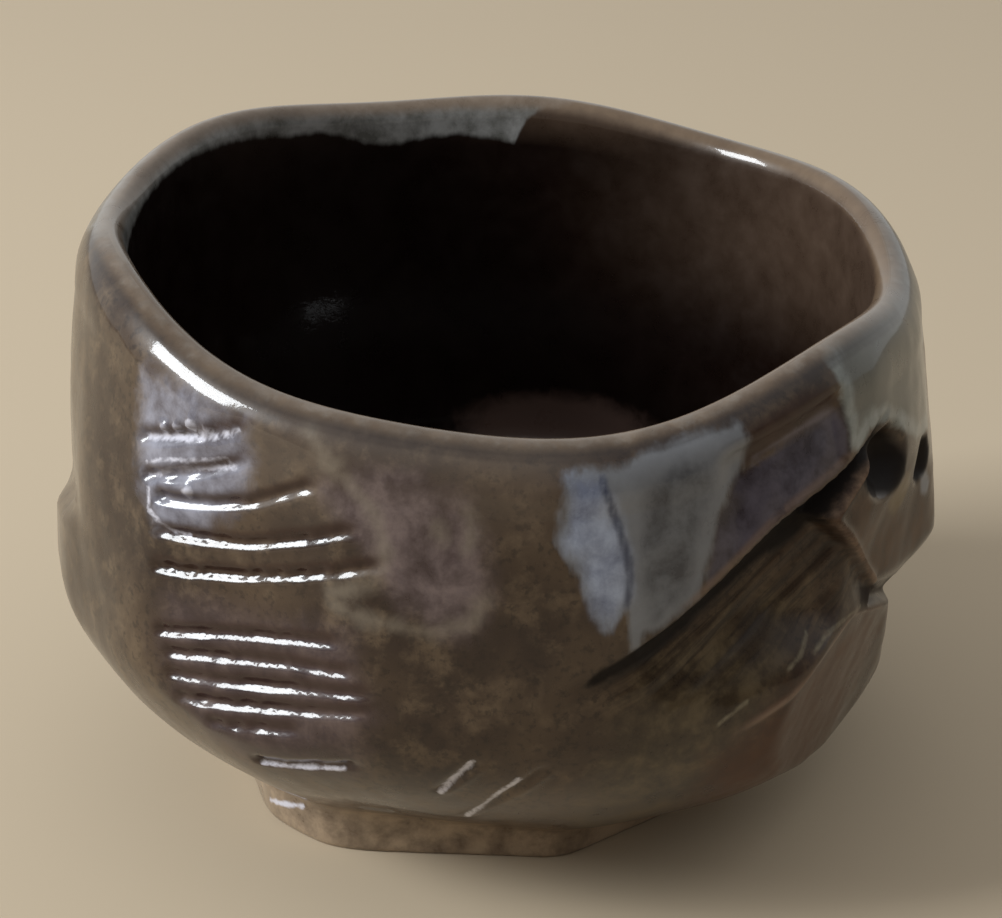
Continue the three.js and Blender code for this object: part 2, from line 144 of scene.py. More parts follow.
# Flap, petal, notch
FLAP_POINT = (36.9, 30.9)
FLAP_ACROSS = (-0.7, -0.71)
FLAP_TOP_POINT = (32.1, 37.0)
FLAP_TOP_ACROSS = (-0.5, 0.86)
FLAP_FACE = (-29, 39.6, 24, 0, 0.6)
FLAP_TOP = 30
FLAP_TOP_FADE = 9
FLAP_STEP = 0.6
FLAP_EDGE = 0.6
FLAP_RIDGE = 0.35
FLAP_LINE_IN = 0.55
FLAP_LINE_HALF_WIDTH = 0.75
FLAP_LINE_HEIGHTS = (24.0, 26.5, 39.5, 40.5)
FLAP_LINE_END = (43.5, 46)
PETAL_START = (20, 20.4)
PETAL_RISE = 0.33
PETAL_TURN = 37
PETAL_FALL = 0.35
PETAL_EDGE = 0.7
PETAL_RIDGE = 0.22
PETAL_RIDGE_DOWN = 0.4
PETAL_RIDGE_HALF_WIDTH = 0.6
PETAL_RIDGE_SPAN = (20, 24, 44, 48)
PETAL_FACES = [(-5, 37.7, 17, 0, 0.6), (-30, 38.3, 20, -0.24, 0.6)]
NOTCH_RADIUS = 37.4
NOTCH_SLOPE = 0.75
NOTCH_START = 38
NOTCH_END = 58
NOTCH_FADE = 5
NOTCH_END_FADE = 22
NOTCH_CLEAR = 6

# Shallow four-sided cut above the ledge
PANEL_LEFT = 20.5
PANEL_RIGHT = 34
PANEL_TOP_LEFT = 44.8
PANEL_TOP_RIGHT = 47.2
PANEL_DEPTH = 1.2
PANEL_RUN_OUT = 9
PANEL_TOP_EDGE = 0.9
PANEL_LOW_EDGE = (-0.2, 0.8)
PANEL_LEFT_SOFTNESS = 1.5
PANEL_RIGHT_EDGE = (-0.5, 1.0)

# Hollows: along, height, half width, half height, depth, how much of it is flat
HOLLOWS = [(41.2, 38.5, 4.5, 3.7, 2.6, 0.3), (51.5, 34.8, 2.4, 2.6, 1.0, 0.3)]

# Short nicks of the knife: one end, the other end, half width, depth
NICKS = [
    ((-4.6, 16.0), (-1.2, 20.1), 0.55, 0.4),
    ((-3.0, 10.6), (4.4, 19.4), 0.5, 0.35),
    ((-15.6, 8.6), (-11.2, 9.0), 0.5, 0.25),
]
NICK_FADE = 0.6
NICK_FADE_END = 0.8
NICK_RIDGE = 0.45
NICK_RIDGE_AWAY = 1.6

# Unevenness of the thrown wall: size across, height, seed
RIPPLES = [(9.0, 0.1, 3), (3.0, 0.03, 4)]

# How far under the lip the carving stops
CARVE_STOP = 1.2
CARVE_FULL = 3.4

# Fineness of the mesh
FINE_FROM = -160
FINE_TO = 8
FINE_STEP = 0.56
PLAIN_STEP = 2.0
WALL_ROWS = 158
LIP_ROWS = 13
BOWL_ROWS = 26
LIP_INSIDE_TURNS = (105, 120, 135, 150, 165, 180)
UNDER_RINGS = 6
UNDER_FIRST_RING = 3
BEVEL_SHARES = (0.3, 0.7, 1.0)
FOOT_RING_SHARES = (0.2, 0.4, 0.6, 0.8, 1.0)

# Beads of glaze: along, height, radius, how far they stand out
BEADS = [
    (-31.7, 44.2, 0.7, 0.5), (-30.1, 44.6, 0.7, 0.5), (-28.3, 45.3, 0.9, 0.6), (-26.7, 45.3, 0.7, 0.5),
    (-28.4, 39.5, 0.8, 0.36),
]

# Lower edge of the grey band inside the lip: degrees round from the front, height
BAND_EDGE = [
    (150.0, 57.0), (172.0, 54.4), (174.6, 53.2), (176.4, 50.4), (178.5, 51.4), (185.9, 51.9),
    (193.4, 51.7), (198.2, 51.1), (204.2, 51.9), (210.5, 53.3), (216.9, 53.5), (227.2, 54.2),
    (240.7, 54.0), (250.9, 53.0), (260.5, 51.8), (274.8, 50.6), (288.0, 51.0), (300.0, 57.0),
]

# Glaze patches, and patches of painted shade and painted sheen, as outlines of (along, height)
PATCHES = {
    "tongue": [
        (6.5, 44.6), (5.5, 39.5), (7.2, 36.5), (8.7, 32.6), (9.4, 31.6), (10.0, 32.3), (11.1, 33.1),
        (11.6, 29.5), (12.3, 29.3), (12.4, 31.0), (14.9, 31.8), (16.8, 33.0), (18.0, 34.8), (18.7, 37.1),
        (19.5, 39.8), (21.0, 41.6), (22.6, 42.9), (23.1, 44.3), (22.5, 46.8), (18.6, 46.6), (14.8, 46.0),
        (11.0, 44.8), (8.4, 45.0),
    ],
    "tongue_blue": [
        (7.0, 44.2), (6.2, 39.4), (7.4, 37.7), (8.0, 35.2), (8.7, 33.3), (9.4, 32.1), (10.4, 33.1),
        (11.3, 34.2), (11.6, 36.5), (11.4, 37.8), (10.7, 39.5), (10.1, 41.2), (9.2, 44.1),
    ],
    "tongue_grey": [
        (15.1, 44.3), (18.1, 44.5), (19.4, 43.0), (18.3, 41.3), (17.3, 39.0), (17.1, 36.5), (16.6, 34.1),
        (15.6, 33.0), (13.2, 32.2), (12.6, 35.6), (12.8, 38.0), (13.4, 42.5),
    ],
    "slate": [
        (19.5, 39.8), (20.9, 40.8), (22.0, 42.2), (24.5, 43.0), (28.1, 44.1), (32.0, 44.9), (34.2, 45.3),
        (34.9, 43.5), (34.6, 41.4), (33.0, 40.6), (29.3, 39.6), (24.5, 37.6), (20.4, 35.6), (18.4, 34.2),
        (18.8, 37.1),
    ],
    "strip": [
        (22.9, 43.1), (22.8, 46.2), (29.3, 48.0), (32.5, 47.6), (34.0, 46.4), (34.2, 45.4), (28.1, 44.3),
    ],
    "patch": [
        (33.6, 49.4), (34.5, 46.0), (35.0, 41.8), (36.2, 41.4), (38.0, 42.6), (41.6, 42.0), (46.1, 39.5),
        (49.0, 37.6), (54.6, 36.8), (58.8, 41.0), (66.0, 45.0), (76.0, 48.0), (76.0, 56.0), (40.0, 54.0),
    ],
    "drip": [(52.3, 33.0), (53.6, 33.0), (55.2, 31.3), (54.8, 30.0), (53.0, 30.8)],
    "tan": [
        (42.5, 34.2), (44.4, 34.8), (46.8, 35.6), (48.6, 33.6), (47.3, 32.2), (45.9, 31.8), (43.5, 33.0),
    ],
    "haze": [
        (-14.8, 42.6), (-13.1, 41.0), (-10.4, 38.6), (-8.9, 36.2), (-7.3, 34.3), (-4.8, 32.5), (-1.6, 31.3),
        (0.2, 34.8), (-0.4, 39.6), (-1.6, 42.8), (-6.0, 44.4), (-11.0, 44.6),
    ],
    # A painted sheen beside the top scored lines
    "painted_sheen": [
        (-35.4, 48.0), (-31.0, 48.2), (-22.6, 46.8), (-21.6, 43.0), (-23.0, 39.6), (-26.4, 36.4),
        (-31.6, 35.8), (-34.0, 38.4),
    ],
    "comb_low": [
        (-32.0, 26.0), (-30.0, 20.6), (-24.0, 15.0), (-12.0, 16.0), (-9.0, 24.0), (-12.0, 31.0),
        (-30.0, 30.0),
    ],
    "olive": [
        (12.3, 29.0), (18.7, 28.4), (24.0, 31.2), (30.2, 29.9), (24.3, 23.0), (20.0, 18.0), (19.0, 12.0),
        (12.0, 5.0), (7.0, 8.0), (8.9, 18.0),
    ],
    "rust": [
        (19.1, 17.7), (25.6, 21.3), (29.6, 23.4), (36.4, 24.0), (42.4, 24.0), (50.4, 18.0), (44.0, 10.0),
        (30.0, 4.0), (21.0, 9.0),
    ],
    "flap_face": [
        (33.4, 35.6), (36.0, 38.0), (39.0, 35.6), (43.9, 34.6), (50.0, 33.0), (60.0, 33.0), (60.0, 26.0),
        (45.0, 25.2), (40.3, 28.0),
    ],
    "gouge": [
        (36.1, 38.6), (37.4, 41.2), (39.0, 42.0), (41.6, 41.2), (43.6, 40.2), (44.8, 38.6), (45.4, 37.1),
        (45.5, 35.8), (43.9, 34.9), (41.8, 35.1), (38.7, 36.0), (37.2, 37.0),
    ],
    "pit": [
        (49.6, 35.6), (51.0, 36.8), (53.4, 36.6), (54.4, 34.8), (53.6, 32.9), (51.6, 32.5), (50.0, 33.6),
    ],
    "notch_spot": [(39.3, 27.1), (44.6, 25.2), (46.4, 23.4), (41.0, 24.6), (38.6, 25.8)],
}

# Lines of the glaze and of torn clay, and painted highlights, as points of (along, height), with half the
# width of each
LINES = {
    "line": ([(9.4, 44.0), (10.3, 41.1), (11.2, 38.2), (11.5, 36.1), (11.1, 33.6)], 0.32),
    "streak_long": ([(29.5, 24.9), (31.5, 25.6), (34.2, 25.9), (38.6, 25.6)], 0.12),
    "streak_short": ([(26.5, 24.4), (28.0, 25.1), (29.7, 26.4)], 0.12),
    "streak_low": ([(19.1, 21.5), (22.0, 22.9)], 0.12),
    "slate_line": ([(23.7, 43.2), (25.7, 43.8), (27.9, 44.3), (30.9, 44.8), (33.6, 45.4)], 0.28),
    "slate_side": ([(34.4, 45.6), (35.0, 43.6), (34.8, 41.6)], 0.3),
    "comb_arc": ([
        (-15.9, 46.9), (-12.2, 43.7), (-9.5, 41.1), (-8.7, 38.8), (-8.8, 36.7), (-9.8, 35.4), (-13.4, 34.0),
    ], 0.5),
    "haze_arc": ([(-13.0, 33.0), (-8.6, 32.2), (-4.8, 31.8), (-1.6, 32.6), (-0.4, 34.6)], 0.5),
    "haze_mark": ([(-2.0, 42.0), (-1.5, 41.0), (-1.5, 39.8), (-1.8, 38.8)], 0.45),
    "haze_spot": ([(-4.2, 40.4), (-3.9, 39.6)], 0.4),
    "glint_hook": ([(-33.6, 40.7), (-30.9, 41.7), (-27.5, 42.3), (-24.4, 43.2), (-23.5, 42.6)], 0.1),
    "glint_curl": ([(-33.0, 38.6), (-32.7, 36.9), (-31.4, 36.1), (-30.1, 35.5), (-28.5, 35.4)], 0.16),
    "glint_top": ([(-34.2, 42.6), (-30.0, 43.7), (-26.6, 44.4), (-23.3, 45.6)], 0.22),
    "glint_second": ([(-33.4, 39.4), (-30.7, 40.8), (-27.4, 41.6), (-23.5, 42.5)], 0.18),
    "glint_bead_first": ([(-31.8, 44.1), (-31.6, 44.1)], 0.42),
    "glint_bead_next": ([(-30.2, 44.5), (-30.0, 44.5)], 0.38),
    "glint_bead_big": ([(-28.4, 45.2), (-28.1, 45.2)], 0.5),
    "glint_bead_last": ([(-26.8, 45.2), (-26.6, 45.2)], 0.36),
    "glint_bead_low": ([(-28.6, 39.2), (-28.3, 39.4)], 0.45),
    "glint_low": ([(-21.6, 15.6), (-17.5, 16.4), (-12.8, 17.5)], 0.2),
    "glint_foot": ([(-36.4, 1.9), (-32.0, 2.8), (-28.4, 3.6)], 0.24),
    "glint_nick_left": ([(-4.4, 15.7), (-3.2, 17.7), (-1.5, 20.1)], 0.26),
    "glint_nick_right": ([(-2.6, 10.3), (0.0, 14.7), (0.9, 16.2), (2.5, 18.0)], 0.22),
}
# The glint lines are painted highlights on the scored lines, the beads, the nicks and the foot
GLINTS = [name for name in LINES if name.startswith("glint")]
# The streak lines are painted highlights on the knife streaks in the cut
STREAKS = [name for name in LINES if name.startswith("streak")]
ARCS = ("comb_arc", "haze_arc", "haze_mark", "haze_spot")
# The gouge, the pit and the spot in the notch are painted shade
PAINTED_SHADE_PATCHES = ("gouge", "pit", "notch_spot")

# Where the glazes and the painted light and shade lie. Masks hold distances up to FAR. A span is (starts,
# is full, fades, ends)
FAR = 4.0
CREST_DOWN_INSIDE = 1.0
CREST_DOWN_OUTSIDE = 0.3
CREST_LINE_DOWN = 0.9
CREST_LINE_HALF_WIDTH = 0.28
INSIDE_STARTS = (0.4, 2.2)
BAND_OUTSIDE = 3.0
BAND_OUTSIDE_RIGHT = (95, 130)
BAND_OUTSIDE_LEFT = (-75, -105)
BARE_ABOVE_GROUND = 0.2
BARE_UNDER = 3
FOOT_BAND = 1.2
SHADOW_LEFT = 0.8
SHADOW_RIGHT = 2.3
SHADOW_GROWS = (8, 30)
SHADOW_SPAN = (4, 9, 37, 40)
SHADOW_GAP = 0.2
SHADOW_OVER_FLAP = 1.2
# The channel between the ledge and the flap is painted shade
CHANNEL_LEFT = 30.5
CHANNEL_RIGHT = 40
CHANNEL_SOFTNESS = 0.6
CHANNEL_OVER_FLAP = 0.5
# Painted highlight along the torn edge of the flap
TORN_SHARE = 0.8
TORN_LEAST = 0.6
# Painted shade on the step under the notch
SHELF_ABOVE = 0.7
SHELF_HALF_WIDTH = 1.2
SHELF_LEFT = 38
SHELF_RIGHT = 80
SHELF_SOFTNESS = 0.5
# A painted reflection: a paler round spot low on the far side of the inside
REFLECTION_SPOT_TURN = 168
REFLECTION_SPOT_HEIGHT = 19.5
REFLECTION_SPOT_RADIUS = 4.2
REFLECTION_SPOT_SQUEEZE = (0.24, 1.2)
# Painted light on the inside wall near this bearing, and under the lip at the back; the rest of the inside
# is painted shade
LIT_BEARING = 5
LIT_REACH = (20, 80)
LIT_HEIGHTS = (30, 45)
UNDER_LIP_REACH = (76, 94)
UNDER_LIP_HEIGHTS = (50.5, 53.5)
UPPER_SHARE = 0.2
UPPER_HEIGHTS = (37, 45)
UPPER_SPAN = (-36, -30, 4, 12)
# Paler line on the petal's top and over the ledge: thin glaze and a painted highlight
PETAL_LINE_HALF_WIDTH = 0.7
PETAL_LINE_SPAN = (20, 24, 46, 49)
LEDGE_LINE_UP = 0.5
LEDGE_LINE_HALF_WIDTH = 0.7
LEDGE_LINE_SHARE = 0.6
LEDGE_LINE_SPAN = (14, 18, 33, 37)
SHARE_MASKS = ("combed", "cut", "lit_side", "upper", "thin_glaze_and_highlight")

# Kinds of glaze and of painted light and shade: noise at the edge, softness and raggedness of the edge,
# strength, tone, colours
GLAZES = {
    # The foot band's paler colour is a painted reflection of the floor
    "foot": ("edge", 2.2, 1.2, 0.85, "clear", (112, 96, 80), (168, 148, 124)),
    "comb_low": ("edge", 2.0, 1.5, 0.55, "clear", (46, 34, 40), (78, 64, 68)),
    "olive": ("edge", 3.0, 2.0, 0.75, "patchy", (44, 35, 23), (90, 78, 56)),
    "rust": ("edge", 3.0, 2.5, 0.8, "soft", (40, 24, 15), (96, 60, 38)),
    "flap_face": ("edge", 1.0, 0.8, 0.8, "clear", (44, 29, 20), (84, 60, 42)),
    "tan": ("edge", 0.6, 0.6, 0.8, None, (108, 92, 62)),
    # Painted sheen
    "painted_sheen": ("edge", 1.6, 1.6, 0.8, "clear", (84, 82, 92), (142, 144, 158)),
    "haze": ("flow", 1.6, 1.4, 0.75, "clear", (58, 45, 46), (108, 94, 94)),
    "arc": ("edge", 0.9, 1.0, 0.5, None, (124, 114, 100)),
    # Bluish grey glaze in the shallow cut, and a painted reflection there
    "slate": ("edge", 0.5, 0.5, 0.95, "clear", (44, 38, 46), (80, 76, 88)),
    # Darker where the glaze is thin on the step over the shallow cut, and painted shade there
    "strip": ("edge", 0.5, 0.4, 0.9, "soft", (34, 22, 18), (70, 52, 44)),
    "slate_line": ("edge", 0.3, 0.3, 0.8, None, (108, 100, 104)),
    "slate_side": ("edge", 0.3, 0.2, 0.9, None, (30, 20, 30)),
    "tongue": ("flow", 0.5, 0.9, 0.95, "soft", (98, 100, 104), (126, 130, 136)),
    "tongue_grey": ("flow", 1.0, 0.9, 0.95, "clear", (60, 61, 66), (102, 105, 110)),
    "tongue_blue": ("flow", 1.1, 1.2, 0.95, "clear", (104, 112, 134), (158, 168, 188)),
    "line": ("edge", 0.3, 0.3, 0.8, None, (48, 54, 74)),
    "drip": ("edge", 0.4, 0.4, 0.9, None, (132, 136, 142)),
    # Painted highlight
    "glint": ("fine", 0.2, 0.35, 0.9, None, (206, 206, 218)),
    # Painted reflection
    "reflection_spot": ("edge", 1.2, 1.0, 0.7, None, (96, 76, 68)),
    "rim_band": ("flow", 0.4, 0.5, 0.9, "clear", (92, 92, 88), (146, 146, 144)),
    # Paler glaze where it breaks on the crest, and a painted highlight along it
    "crest": ("edge", 0.6, 0.3, 0.8, "soft", (84, 66, 50), (126, 106, 84)),
    "crest_line": ("edge", 0.3, 0.2, 0.6, None, (36, 24, 18)),
    # Painted shade in the hollows, under the ledge and in the channel
    "painted_shade": ("edge", 0.5, 0.4, 0.92, None, (14, 9, 7)),
    # Painted shade
    "shelf_shade": ("edge", 0.4, 0.3, 0.9, None, (34, 24, 18)),
    # Painted highlight along the torn edge of the flap
    "torn_edge_highlight": ("fine", 0.45, 0.25, 0.8, "clear", (80, 58, 46), (160, 134, 112)),
    # Painted highlight on the knife streaks
    "streak": ("fine", 0.2, 0.2, 0.8, None, (124, 116, 96)),
    "bare": ("edge", 0.25, 0.2, 1.0, "clay", (112, 84, 62), (150, 120, 92)),
}
UNDER_CUT = ("foot", "comb_low", "olive", "rust")
ON_WALL = (
    "flap_face", "tan", "painted_sheen", "haze", "arc", "slate", "strip", "slate_line", "slate_side",
    "tongue", "tongue_grey", "tongue_blue", "line",
)
ON_PATCH = ("drip", "glint")
AT_LIP = ("reflection_spot", "rim_band", "crest", "crest_line")
ON_TOP = ("painted_shade", "shelf_shade", "torn_edge_highlight", "streak", "bare")
DULL = {"shelf_shade": 1.0, "strip": 0.6, "flap_face": 0.6, "rust": 0.5}
COAT = 0.55

# Camera, found from the photo: place, downward turn, focal length in widths of the picture
CAMERA_PLACE = (0.9, -215.0, 122.0)
CAMERA_PITCH = 23.3
CAMERA_FOCAL = 2450 / 1002
CAMERA_NEAR = 0.01
SENSOR = 36.0

# Light of the room by direction
ROOM_FRONT = (0.3, 0.26, 0.22, 1)
ROOM_RIGHT = (0.07, 0.058, 0.048, 1)
ROOM_BACK = (0.72, 0.72, 0.7, 1)
ROOM_TOP = (0.62, 0.63, 0.64, 1)

# Window light: place, size in metres, power, colour
WINDOW = ((-0.80, -0.16, 0.50), (0.34, 0.34), 10.5, (0.93, 0.97, 1.0))
LIGHT_TARGET = (0, 0, 0.03)
FLOOR_REACH = 3.0
FLOOR_COLOUR = (186, 170, 146)


def srgb(red, green, blue):
    """A colour of 0 to 255 values, as the linear values that the shader takes."""
    out = []
    for value in (red, green, blue):
        share = value / 255
        out.append(share / 12.92 if share <= 0.04045 else ((share + 0.055) / 1.055) ** 2.4)
    return (*out, 1.0)


def wrap(degrees):
    return (degrees + 180) % 360 - 180


def along(bearing):
    return ALONG_RADIUS * RAD * wrap(bearing + 90)


def mix(a, b, t):
    return a + (b - a) * t


def smooth(start, end, x):
    t = np.clip((x - start) / (end - start), 0, 1)
    return t * t * (3 - 2 * t)


def span(x, ends):
    """1 within these ends and 0 outside them."""
    return smooth(ends[0], ends[1], x) * (1 - smooth(ends[2], ends[3], x))


def bump(x, half_width):
    return smooth(0, 1, 1 - np.abs(x) / half_width)


def waves(bearing, parts):
    return sum(size * np.cos(RAD * count * (bearing - at)) for count, size, at in parts)


def smooth_min(a, b, blend):
    h = np.clip(0.5 + 0.5 * (b - a) / blend, 0, 1)
    return b + (a - b) * h - blend * h * (1 - h)


def shave(radius, face, bearing, z):
    at, reach, at_z, lean, blend = face
    turn = np.maximum(np.cos(RAD * wrap(bearing - at)), 0.2)
    return smooth_min(radius, (reach - lean * (z - at_z)) / turn, blend)


def ripple(bearing, z, size, seed):
    """A smooth random unevenness from about -1 to 1, with bumps of about this size."""
    rng = np.random.default_rng(seed)
    x = ALONG_RADIUS * np.cos(RAD * bearing)
    y = ALONG_RADIUS * np.sin(RAD * bearing)
    total = 0
    for _ in range(8):
        way = rng.normal(size=3)
        way /= np.linalg.norm(way)
        length = size * rng.uniform(0.8, 2.0)
        run = x * way[0] + y * way[1] + z * way[2]
        total = total + np.sin(math.tau * run / length + rng.uniform(0, 6))
    return total / 4


def rim_height(bearing):
    return RIM_HEIGHT + waves(bearing, RIM_WAVES)


def mouth_radius(bearing):
    return MOUTH_RADIUS + waves(bearing, MOUTH_WAVES)


def crest_radius(bearing):
    return mouth_radius(bearing) - LIP_CREST_SHARE * LIP_THICKNESS


def foot_height(bearing):
    return FOOT_HEIGHT + waves(bearing, [(1, FOOT_RISE, FOOT_RISE_AT)])


def foot_radius(bearing, z):
    radius = FOOT_RADIUS + 0 * bearing
    for at, reach in FOOT_FLATS:
        radius = shave(radius, (at, reach, 0, 0, FOOT_BLEND), bearing, z)
    return radius + FOOT_FLARE * np.minimum(z, foot_height(bearing))


def thrown_radius(bearing, z):
    belly = BELLY_RADIUS + waves(bearing, [(1, BELLY_SHIFT, 0)])
    lip_start = rim_height(bearing) - LIP_OUTER_DROP
    below = np.maximum(BELLY_HEIGHT - z, 0) / (BELLY_HEIGHT - foot_height(bearing))
    fuller = LOWER_FULLNESS * bump(wrap(bearing - LOWER_FULLNESS_AT), LOWER_FULLNESS_HALF_WIDTH)
    foot = foot_radius(bearing, z)
    lower = -smooth_min(-mix(belly, foot, below ** (LOWER_CURVE + fuller)), -foot, FOOT_FILLET)
    above = np.clip((z - BELLY_HEIGHT) / (lip_start - BELLY_HEIGHT), 0, 1)
    upper = mix(belly, mouth_radius(bearing), above**UPPER_CURVE)
    radius = np.where(z < BELLY_HEIGHT, lower, upper)
    roll = np.clip((z - lip_start) / LIP_OUTER_DROP, 0, 1)
    return mix(crest_radius(bearing), radius, np.sqrt(1 - roll * roll))


def ledge_height(x):
    straight = LEDGE_START[1] + LEDGE_SLOPE * (x - LEDGE_START[0])
    return straight + LEDGE_BULGE * bump(x - LEDGE_BULGE_AT, LEDGE_BULGE_HALF_WIDTH)


def petal_height(x):
    rise = PETAL_RISE * (np.clip(x, PETAL_START[0], PETAL_TURN) - PETAL_START[0])
    return PETAL_START[1] + rise - PETAL_FALL * np.maximum(x - PETAL_TURN, 0)


def comb(bearing, x, z):
    """Depth of the scored lines, and how close a point is to the band of painted shade above one."""
    depth = np.zeros_like(z)
    near = np.zeros_like(z)
    for number, (height, slope, left, right, deep, sag) in enumerate(COMB_LINES):
        wander = COMB_WANDER * ripple(bearing, 0 * z, COMB_WANDER_SIZE, COMB_WANDER_SEED + number)
        from_middle = (x - 0.5 * (left + right)) / (0.5 * (right - left))
        sink = sag * (1 - np.minimum(from_middle * from_middle, 1))
        above = z - (height + slope * (x - COMB_MIDDLE) - sink + wander)
        reach = smooth(left - COMB_FADE, left, x) * (1 - smooth(right, right + 2 * COMB_FADE, x))
        fade = mix(COMB_LEFT_DEPTH, COMB_RIGHT_DEPTH, np.clip((x - left) / (right - left), 0, 1))
        rough = ripple(bearing, 0 * z, COMB_UNEVEN_SIZE, COMB_UNEVEN_SEED + number)
        uneven = fade * (1 + COMB_UNEVEN * rough)
        below = mix(COMB_BELOW, COMB_BELOW_HIGH, smooth(*COMB_HIGH, height))
        groove = np.where(above < 0, bump(above, below), bump(above, COMB_ABOVE))
        depth += deep * uneven * reach * groove
        near = np.maximum(near, reach * bump(above - COMB_DARK_ABOVE, COMB_DARK_HALF_WIDTH))
    return depth, near


def beyond(x, z, point, across):
    return across[0] * (x - point[0]) + across[1] * (z - point[1])


def off_flap(x, z):
    """Distance from the flap, positive to the left of it and above it."""
    left = beyond(x, z, FLAP_POINT, FLAP_ACROSS)
    return np.maximum(left, beyond(x, z, FLAP_TOP_POINT, FLAP_TOP_ACROSS))


def shoulder(radius, bearing, x, z):
    rise = (SHOULDER_RIGHT[1] - SHOULDER_LEFT[1]) / (SHOULDER_RIGHT[0] - SHOULDER_LEFT[0])
    height = SHOULDER_LEFT[1] + (x - SHOULDER_LEFT[0]) * rise
    flat = shave(radius, SHOULDER_SHAVE, bearing, z)
    return mix(radius, flat, smooth(0, SHOULDER_SOFTNESS, z - height))


def cut_share(x, z):
    """1 inside the knife cut and 0 outside it."""
    run_out = mix(CUT_RUN_OUT_LEFT, CUT_RUN_OUT_RIGHT, smooth(*CUT_RUN_OUT_SPAN, x))
    return (
        smooth(0, CUT_EDGE, ledge_height(x) - z)
        * smooth(-FLAP_EDGE, FLAP_EDGE, off_flap(x, z))
        * smooth(0, run_out, z - petal_height(x))
        * smooth(CUT_FADE_LEFT, CUT_FADE_RIGHT, x)
        * (1 - smooth(CUT_END, CUT_END + CUT_END_FADE, x))
    )


def streaks(x, z, size, seed):
    """Scratches drawn by the knife, parallel to the ledge."""
    rng = np.random.default_rng(seed)
    across = z - LEDGE_SLOPE * x
    total = 0
    for _ in range(6):
        length = size * rng.uniform(0.7, 2.2)
        turn = across / length + x * rng.uniform(-0.006, 0.006)
        total = total + np.sin(math.tau * turn + rng.uniform(0, 6))
    return total / 3


def right_side(radius, bearing, x, z):
    over_petal = z - petal_height(x)
    before_notch = 1 - smooth(NOTCH_START, NOTCH_START + NOTCH_FADE, x)
    after_notch = smooth(NOTCH_END, NOTCH_END + NOTCH_END_FADE, x)
    clear = NOTCH_CLEAR * (before_notch + after_notch)
    flat = shave(radius, FLAP_FACE, bearing, z)
    face = smooth_min(
        mix(flat, radius, smooth(FLAP_TOP, FLAP_TOP + FLAP_TOP_FADE, z)),
        NOTCH_RADIUS + NOTCH_SLOPE * np.maximum(over_petal, 0) + clear,
        FLAP_FACE[4],
    )
    petal = radius
    for plane in PETAL_FACES:
        petal = shave(petal, plane, bearing, z)
    uncut = mix(petal, face, smooth(-PETAL_EDGE, PETAL_EDGE, over_petal))
    cut = smooth_min(shave(radius, CUT, bearing, z), face - FLAP_STEP, CUT_BLEND)
    cut = cut - CUT_STREAK * streaks(x, z, CUT_STREAK_SIZE, CUT_STREAK_SEED)
    radius = mix(uncut, cut, cut_share(x, z))
    ridge = span(x, PETAL_RIDGE_SPAN) * bump(over_petal + PETAL_RIDGE_DOWN, PETAL_RIDGE_HALF_WIDTH)
    return radius + PETAL_RIDGE * ridge + FLAP_RIDGE * flap_line(x, z)


def flap_line(x, z):
    """1 along the torn edge of the flap and 0 away from it."""
    reach = span(z, FLAP_LINE_HEIGHTS) * (1 - smooth(*FLAP_LINE_END, x))
    return reach * bump(off_flap(x, z) + FLAP_LINE_IN, FLAP_LINE_HALF_WIDTH)


def panel_depth(x, z):
    top = mix(PANEL_TOP_LEFT, PANEL_TOP_RIGHT, (x - PANEL_LEFT) / (PANEL_RIGHT - PANEL_LEFT))
    below = top - z
    return (
        PANEL_DEPTH
        * smooth(0, PANEL_TOP_EDGE, below)
        * np.clip(1 - below / PANEL_RUN_OUT, 0, 1)
        * smooth(*PANEL_LOW_EDGE, z - ledge_height(x))
        * smooth(-PANEL_LEFT_SOFTNESS, PANEL_LEFT_SOFTNESS, x - PANEL_LEFT)
        * (1 - smooth(*PANEL_RIGHT_EDGE, x - PANEL_RIGHT))
    )


def hollow_depth(x, z):
    total = 0
    for at, height, half_width, half_height, depth, flat in HOLLOWS:
        away = np.hypot((x - at) / half_width, (z - height) / half_height)
        total = total + depth * (1 - smooth(flat, 1, away))
    return total


def nick_parts(x, z):
    """Depth of the short nicks, and the small ridge that each throws up on its upper side."""
    depth = np.zeros_like(z)
    for (x0, z0), (x1, z1), half_width, deep in NICKS:
        length = math.hypot(x1 - x0, z1 - z0)
        way = ((x1 - x0) / length, (z1 - z0) / length)
        run = (x - x0) * way[0] + (z - z0) * way[1]
        off = (x - x0) * -way[1] + (z - z0) * way[0]
        reach = span(run, (-NICK_FADE, NICK_FADE, length - NICK_FADE_END, length + NICK_FADE))
        ridge = NICK_RIDGE * bump(off + NICK_RIDGE_AWAY * half_width, half_width)
        depth += reach * deep * (bump(off, half_width) - ridge)
    return depth


def bead_height(x, z):
    return sum(out * bump(np.hypot(x - at, z - height), radius) for at, height, radius, out in BEADS)


def outer_radius(bearing, z):
    thrown = thrown_radius(bearing, z)
    x = along(bearing)
    radius = thrown
    for face in SHAVES:
        radius = shave(radius, face, bearing, z)
    radius = shoulder(radius, bearing, x, z)
    radius = right_side(radius, bearing, x, z)
    radius = radius - comb(bearing, x, z)[0] - panel_depth(x, z) - hollow_depth(x, z)
    radius = radius - nick_parts(x, z) + bead_height(x, z)
    for size, height, seed in RIPPLES:
        radius = radius + height * ripple(bearing, z, size, seed)
    return mix(thrown, radius, smooth(CARVE_STOP, CARVE_FULL, rim_height(bearing) - z))


